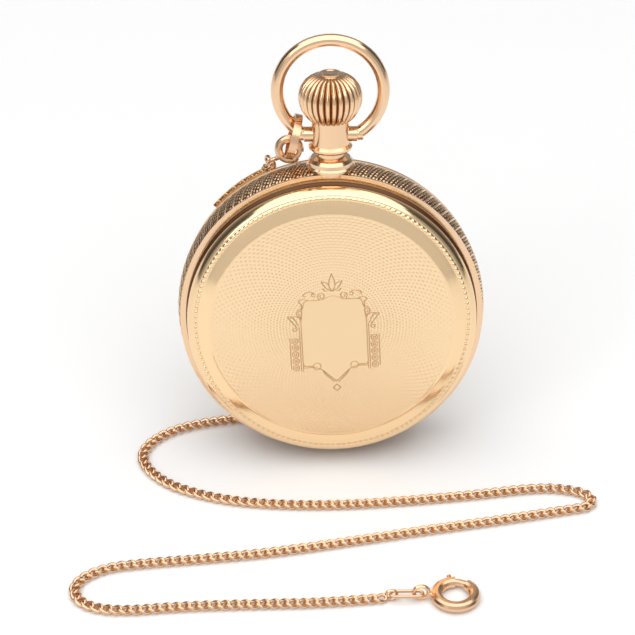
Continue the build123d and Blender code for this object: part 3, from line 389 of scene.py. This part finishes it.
def cover_middle(name, sign, body, rows=8, columns=180):
    """A cover's flat middle, for the engine turning."""
    radius = np.linspace(MIDDLE_R, HUB_R, rows)[:, None] + np.zeros(columns)
    t = np.arange(columns)[None, :] * TAU / columns + np.zeros((rows, 1))
    z = COVER_TOP + OVERLAY + np.zeros(radius.shape)
    points = in_watch(np.stack([radius * np.cos(t), radius * np.sin(t), sign * z], -1))
    faces = grid_faces(rows, columns, True) + [tuple((rows - 1) * columns + c for c in range(columns))]
    add_mesh(name, points, faces, engraved, body)


# ---- the cartouche, in its own frame: U across, V up, mirrored in U ----
CARTOUCHE_TURN, CARTOUCHE_AT = math.radians(2.5), (0.25, -0.45)
LINE_HALF, LINE_TALL = 0.075, 0.06


def on_cover(points):
    """Cartouche points to the cover's X and Y."""
    c, s = math.cos(CARTOUCHE_TURN), math.sin(CARTOUCHE_TURN)
    u, v = np.asarray(points, float).reshape(-1, 2).T
    return np.c_[CARTOUCHE_AT[0] + c * u - s * v, CARTOUCHE_AT[1] + s * u + c * v]


def ridges(name, lines, body):
    """Fine raised lines on the front cover, each a path in its X and Y, thinned at its ends, in a darker
    gold that is painted shade for engraved cuts.
    """
    points, faces = [], []
    section = np.array([(-1, 0), (-0.6, 0.75), (0, 1), (0.6, 0.75), (1, 0)])
    for line in lines:
        line = np.asarray(line, float)
        heading = np.gradient(line, axis=0)
        heading /= np.linalg.norm(heading, axis=1)[:, None] + 1e-12
        side = np.c_[-heading[:, 1], heading[:, 0]]
        swell = np.sin(np.linspace(0.12, 0.88, len(line)) * math.pi) ** 0.35
        wide = (section[None, :, 0] * LINE_HALF * swell[:, None])[..., None]
        flat = line[:, None] + side[:, None] * wide
        rise = COVER_TOP + OVERLAY + LINE_TALL * section[None, :, 1] * swell[:, None]
        faces += grid_faces(len(line), len(section), False, sum(len(p) for p in points))
        points.append(np.concatenate([flat, rise[..., None]], -1).reshape(-1, 3))
    finish_edges(add_mesh(name, in_watch(np.concatenate(points)), faces, shaded_cut_line, body))


def round_points(centre, radius, start, end, count=16, end_radius=None):
    """Points on an arc, or on a spiral if it ends at another radius. Angles in degrees."""
    angle = np.radians(np.linspace(start, end, count))
    reach = np.linspace(radius, radius if end_radius is None else end_radius, count)
    return list(zip(centre[0] + reach * np.cos(angle), centre[1] + reach * np.sin(angle)))


def bent(corners, count=24):
    """A smooth line through a few corners."""
    corners = np.asarray(corners, float)
    share = np.r_[0, np.cumsum(np.linalg.norm(np.diff(corners, axis=0), axis=1))]
    where = np.linspace(0, share[-1], count)
    smooth = np.stack([np.interp(where, share, corners[:, i]) for i in range(2)], -1)
    for _ in range(3):
        smooth[1:-1] = (smooth[:-2] + 2 * smooth[1:-1] + smooth[2:]) / 4
    return smooth


# one half of the ornament
half_lines = [
    round_points((1.45, 5.0), 0.55, -60, 420, 34, 0.16),
    bent([(1.75, 4.55), (2.4, 4.5), (3.2, 4.45), (4.1, 4.75), (4.6, 4.35)]),
    bent([(2.3, 5.35), (2.9, 5.75), (3.6, 5.55), (4.0, 5.15), (3.5, 5.05)]),
    round_points((2.55, 5.25), 0.3, 200, 520, 22, 0.12),
    round_points((4.45, 2.6), 0.5, -110, 380, 34, 0.16),
    bent([(4.6, 4.35), (4.15, 3.9), (4.2, 3.3), (4.75, 3.05)]),
    bent([(4.35, 1.6), (4.6, 2.1), (5.3, 2.3), (5.75, 2.0)]),
    bent([(5.0, 0.7), (5.5, 1.3), (6.2, 2.3), (5.5, 2.2), (5.0, 1.5), (4.75, 0.8)]),
    round_points((5.25, 0.35), 0.4, 90, 520, 30, 0.12),
    bent([(4.35, 2.1), (4.35, -6.0)]),
    bent([(4.62, 0.6), (4.62, -6.0)]),
    bent([(5.95, -0.9), (5.95, -5.6)]),
    round_points((2.5, -5.3), 0.5, 0, 360, 24),
    bent([(3.0, -5.2), (4.35, -5.2)]),
    bent([(3.0, -5.45), (4.35, -5.45)]),
    bent([(1.9, -5.75), (1.5, -6.5), (0.28, -7.75)]),
    bent([(1.6, -6.15), (1.25, -6.45), (0.0, -7.65)]),
    bent([(0, 5.65), (0.42, 6.3), (0.35, 7.2), (0.0, 8.2)]),
    bent([(0.1, 5.65), (0.9, 6.2), (1.45, 7.2), (0.75, 6.95), (0.35, 6.5)]),
    bent([(0.55, 5.75), (1.0, 5.75), (1.25, 6.1)]),
    bent([(0, -8.1), (0.5, -8.6), (0, -9.1)]),
]
for reach, count in ((0.42, 20), (0.16, 12)):
    half_lines += [round_points((5.3, -1.4 - i), reach, 0, 360, count) for i in range(5)]
shield_half = [
    (0, 5.0), (0.7, 4.9), (1.3, 4.45), (3.6, 4.45), (3.95, 4.1), (3.9, 3.6), (4.3, 2.9), (4.15, 2.2),
    (4.35, 1.6), (4.35, -5.2), (2.9, -5.3), (2.2, -5.7), (1.9, -5.75), (0.0, -7.65),
]
plaque = on_cover(shield_half + [(-u, v) for u, v in reversed(shield_half[1:-1])])
# the bare plaque, in the darker plaque gold as painted shade
add_mesh("cartouche_plaque", in_watch([(x, y, COVER_TOP + PLAQUE) for x, y in plaque]),
         [tuple(range(len(plaque)))], shaded_plaque_gold, "front_lid")
cartouche = [on_cover([(side * u, v) for u, v in line]) for line in half_lines for side in (1, -1)]
cover_skin("front_cover_rim", 1, "front_lid")
cover_skin("back_cover_rim", -1, "back_lid")
cover_middle("front_cover_engraving", 1, "front_lid")
cover_middle("back_cover_engraving", -1, "back_lid")
cartouche.append(on_cover(bent(shield_half + [(-u, v) for u, v in reversed(shield_half[:-1])], 160)))
ridges("cartouche", cartouche, "front_lid")

# ---- case band: slanted ribs with two rows of beads between them ----
RIBS, RIB_LEAN, RIB_TALL = 88, 0.414, 0.13
RIB_SHARE = 0.26                    # share of the pitch that a rib takes
BEAD_STEP, BEAD_R, BEAD_TALL = 0.58, 0.24, 0.11
BEAD_ROWS = ((0.45, 0.0), (0.79, 0.5))      # place in the pitch, and shift along the row in steps
STRIP_HALF = 2.5                    # half the skin's width
MILLED_HALF, MILLED_SOFT = 2.4, 0.15        # the milling ends here
TUCK_FROM, TUCK = 2.35, 0.06        # the skin's edges dip into the solid band
SHADE_BELOW, SHADE_HALF = 0.07, 2.32  # ground between the ribs that is painted dark, as painted shade
WAIST_R = FLANGE_R - 0.25           # the band's radius at the skin's edges


def band_skin(name, columns=1232, rows=48):
    """The milled outside of the case band, with painted shade on the low ground between its ribs and beads.
    """
    t = np.arange(columns)[None, :] * TAU / columns + np.zeros((rows, 1))
    z = np.linspace(-STRIP_HALF, STRIP_HALF, rows)[:, None] + np.zeros(columns)
    pitch = TAU * BAND_R / RIBS
    share = ((t * BAND_R - RIB_LEAN * z) / pitch) % 1
    ribs = RIB_TALL * np.sqrt(np.clip(1 - (2 * share / RIB_SHARE - 1) ** 2, 0, 1))
    beads = np.zeros(share.shape)
    for middle, shift in BEAD_ROWS:
        aside = (share - middle) * pitch
        along = ((z / BEAD_STEP + shift) % 1 - 0.5) * BEAD_STEP
        beads = np.maximum(beads, 1 - (aside ** 2 + along ** 2) / BEAD_R ** 2)
    milling = np.maximum(ribs, BEAD_TALL * np.sqrt(beads))
    milling *= between(np.abs(z), -1, MILLED_HALF, MILLED_SOFT)
    ends = TUCK * np.clip((np.abs(z) - TUCK_FROM) / MILLED_SOFT, 0, 1)
    r = WAIST_R + (BAND_R - WAIST_R) * (1 - (z / STRIP_HALF) ** 2) + SKIN + milling - ends
    obj = grid(name, in_watch(np.stack([r * np.cos(t), r * np.sin(t), z], -1)), milled, "case")
    # low ground between the ribs and beads takes the near-black recess gold: painted shade
    obj.data.materials.append(recess)
    low = (milling[:-1] < SHADE_BELOW) & (np.abs(z[:-1]) < SHADE_HALF)
    obj.data.polygons.foreach_set("material_index", low.astype(np.int32).ravel())


band_skin("case_band_milling")

# ---- crown: rounded ribs ----
CROWN_RIBS, CROWN_EDGE = 28, math.radians(50)
FLUTE_DEEP, FLUTE_SHADE = 0.5, 0.42          # the second is how far up a flute's side the painted shade reaches
FLUTE_FADE_LOW, FLUTE_FADE_TOP = 3, 8       # outline points over which the flutes run out


def arc_through(start, middle, end, count):
    """Points on the arc through three points."""
    (ax, ay), (bx, by), (cx, cy) = start, middle, end
    d = 2 * (ax * (by - cy) + bx * (cy - ay) + cx * (ay - by))
    a, b, c = ax * ax + ay * ay, bx * bx + by * by, cx * cx + cy * cy
    ox = (a * (by - cy) + b * (cy - ay) + c * (ay - by)) / d
    oy = (a * (cx - bx) + b * (ax - cx) + c * (bx - ax)) / d
    first, last = math.atan2(ay - oy, ax - ox), math.atan2(cy - oy, cx - ox)
    angle = np.linspace(first, last, count)
    reach = math.hypot(ax - ox, ay - oy)
    return list(zip(ox + reach * np.cos(angle), oy + reach * np.sin(angle)))


def crown_skin(name, columns=336):
    """The whole crown: skirt recess, ribbed onion and top button."""
    belly = (4.2, 30.33)
    onion = arc_through((2.8, 27.05), (4.05, 29.1), belly, 16)
    onion += arc_through(belly, (3.3, 32.3), (1.45, 33.2), 20)[1:]
    inside = [(0.3, 28.1), (2.54, 28.1), (2.54, 27.15), (2.66, 27.05)]
    button = [(1.45, 33.22), (1.45, 33.4), (1.38, 33.45), (1.1, 33.45), (1.02, 33.36), (0.02, 33.36)]
    profile = np.array(inside + onion + button)
    t = np.arange(columns)[None, :] * TAU / columns
    depth = np.zeros(len(profile))
    place = np.arange(len(onion))
    fade_in, fade_out = place / FLUTE_FADE_LOW, (len(onion) - 1 - place) / FLUTE_FADE_TOP
    depth[len(inside):len(inside) + len(onion)] = FLUTE_DEEP * np.clip(
        np.minimum(fade_in, fade_out), 0, 1)
    r = profile[:, :1] - depth[:, None] * (1 - np.abs(np.sin(CROWN_RIBS / 2 * t)))
    y = profile[:, 1:] + 0 * t
    obj = grid(name, in_watch(np.stack([r * np.sin(t), y, r * np.cos(t)], -1)), fittings, "crown",
               CROWN_EDGE)
    # the lower sides of the flutes take the darker groove gold: painted shade in the valleys between the
    # ribs
    obj.data.materials.append(groove)
    across = np.abs(np.sin(CROWN_RIBS / 2 * (t + math.pi / columns)))
    low = (across < FLUTE_SHADE) & (depth[:-1, None] > FLUTE_DEEP / 5)
    obj.data.polygons.foreach_set("material_index", low.astype(np.int32).ravel())
    return obj


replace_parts(crown_skin("crown_ribs"), "crown")

# ---- dial painting: the hours run from 12 on the left, with 3 at the pendant ----
DIAL_FACE, PAINT, SECONDS_X = 2.75, 0.012, 7.5      # the face's height, the paint on it, the seconds' place
TRACK, TRACK_LINE = (14.9, 15.7), 0.06      # the minute track's two rings
NUMBER_R, NUMBER_TALL = 12.9, 3.3
HOUR_TICK, MINUTE_TICK = 0.3, 0.09
SMALL_TRACK, SMALL_LINE = (3.0, 3.6), 0.05  # the same for the seconds
SMALL_NUMBER_R, SMALL_NUMBER_TALL = 2.45, 0.85
TEN_TICK, SECOND_TICK = 0.12, 0.05
marks, mark_faces = [], []


def mark(shape, faces=None):
    """Adds a painted shape in the dial's own X (to 3) and Y (to 12), as one face unless faces are given."""
    start = len(marks)
    marks.extend((-y, x, DIAL_FACE + PAINT) for x, y in shape)
    mark_faces.extend(tuple(start + i for i in face) for face in faces or [range(len(shape))])


def mark_ring(centre, inner, outer, count=120):
    """A painted ring."""
    turn = np.arange(count) * TAU / count
    both = [(centre[0] + r * math.sin(a), centre[1] + r * math.cos(a))
            for r in (inner, outer) for a in turn]
    mark(both, grid_faces(2, count, True))


def mark_tick(centre, inner, outer, width, turn):
    """A painted tick that points outwards, turned clockwise from 12."""
    c, s = math.cos(turn), math.sin(turn)
    corners = ((-width / 2, inner), (width / 2, inner), (width / 2, outer), (-width / 2, outer))
    mark([(centre[0] + c * x + s * y, centre[1] - s * x + c * y) for x, y in corners])


def mark_number(text, size, place):
    """A painted number, upright and centred on its place."""
    curve = bpy.data.curves.new("number", "FONT")
    curve.body, curve.size, curve.align_x, curve.align_y = text, size, "CENTER", "CENTER"
    curve.resolution_u = 4
    obj = bpy.data.objects.new("number", curve)
    bpy.context.scene.collection.objects.link(obj)
    bpy.context.view_layer.update()
    mesh = bpy.data.meshes.new_from_object(obj.evaluated_get(bpy.context.evaluated_depsgraph_get()))
    mark([(place[0] + v.co.x, place[1] + v.co.y) for v in mesh.vertices],
         [tuple(p.vertices) for p in mesh.polygons])
    bpy.data.meshes.remove(mesh)
    bpy.data.objects.remove(obj)
    bpy.data.curves.remove(curve)


seconds_at = (0.0, -SECONDS_X)
for ring in TRACK:
    mark_ring((0, 0), ring, ring + TRACK_LINE)
for ring in SMALL_TRACK:
    mark_ring(seconds_at, ring, ring + SMALL_LINE, 72)
for step in range(60):
    turn = step * TAU / 60
    mark_tick((0, 0), TRACK[0] + 0.05, TRACK[1] + 0.02, MINUTE_TICK if step % 5 else HOUR_TICK, turn)
    mark_tick(seconds_at, SMALL_TRACK[0] + 0.02, SMALL_TRACK[1] + 0.02,
              SECOND_TICK if step % 10 else TEN_TICK, turn)
for hour in range(1, 13):
    turn = hour * TAU / 12
    mark_number(str(hour), NUMBER_TALL, (NUMBER_R * math.sin(turn), NUMBER_R * math.cos(turn)))
for second in range(10, 70, 10):
    turn = second * TAU / 60
    place = (SMALL_NUMBER_R * math.sin(turn), SMALL_NUMBER_R * math.cos(turn) - SECONDS_X)
    mark_number(str(second), SMALL_NUMBER_TALL, place)
add_mesh("dial_painting", in_watch(marks), mark_faces, paint, "case")

# ---- floor, lights and world ----
floor_look = material("white floor", (0.96, 0.96, 0.96), metallic=0.0, roughness=0.6)
bpy.ops.mesh.primitive_plane_add(size=3.0, location=(0, 0, 0))
floor = bpy.context.object
floor.name = "floor"
floor.data.materials.append(floor_look)

LAMP_AIM = Vector((0, 0, 0.02))


def lamp(name, place, size, power):
    """A square soft light at a place in metres, aimed at the watch's foot."""
    light = bpy.data.lights.new(name, "AREA")
    light.shape = "SQUARE"
    light.size = size
    light.energy = power
    obj = bpy.data.objects.new(name, light)
    bpy.context.scene.collection.objects.link(obj)
    obj.location = place
    obj.rotation_euler = (LAMP_AIM - Vector(place)).to_track_quat("-Z", "Y").to_euler()


lamp("top softbox", (0.0, -0.1, 0.7), size=1.3, power=8.5)
lamp("left softbox", (-0.6, -0.6, 0.45), size=0.25, power=0.6)

# the studio that the gold reflects, by place from front to back: light, then dark at the sides, then grey
WALL_SHADES = ((0.1, 0.72), (0.42, 0.08), (0.62, 0.08), (0.95, 0.35))
world = bpy.data.worlds.new("studio")
bpy.context.scene.world = world
world.use_nodes = True
studio = world.node_tree
toward_wall = studio.nodes.new("ShaderNodeTexCoord")
split = studio.nodes.new("ShaderNodeSeparateXYZ")
half = studio.nodes.new("ShaderNodeMath")
half.operation = "MULTIPLY_ADD"
half.inputs[1].default_value = 0.5
half.inputs[2].default_value = 0.5
fade = studio.nodes.new("ShaderNodeValToRGB")
walls = fade.color_ramp
for place, shade in WALL_SHADES:
    stop = walls.elements.new(place)
    stop.color = (shade, shade, shade, 1)
walls.elements.remove(walls.elements[0])
walls.elements.remove(walls.elements[-1])
studio.links.new(toward_wall.outputs["Generated"], split.inputs["Vector"])
studio.links.new(split.outputs["Y"], half.inputs[0])
studio.links.new(half.outputs["Value"], fade.inputs["Fac"])
studio.links.new(fade.outputs["Color"], studio.nodes["Background"].inputs["Color"])
studio.nodes["Background"].inputs["Strength"].default_value = 1
bpy.context.scene.view_settings.view_transform = "Standard"
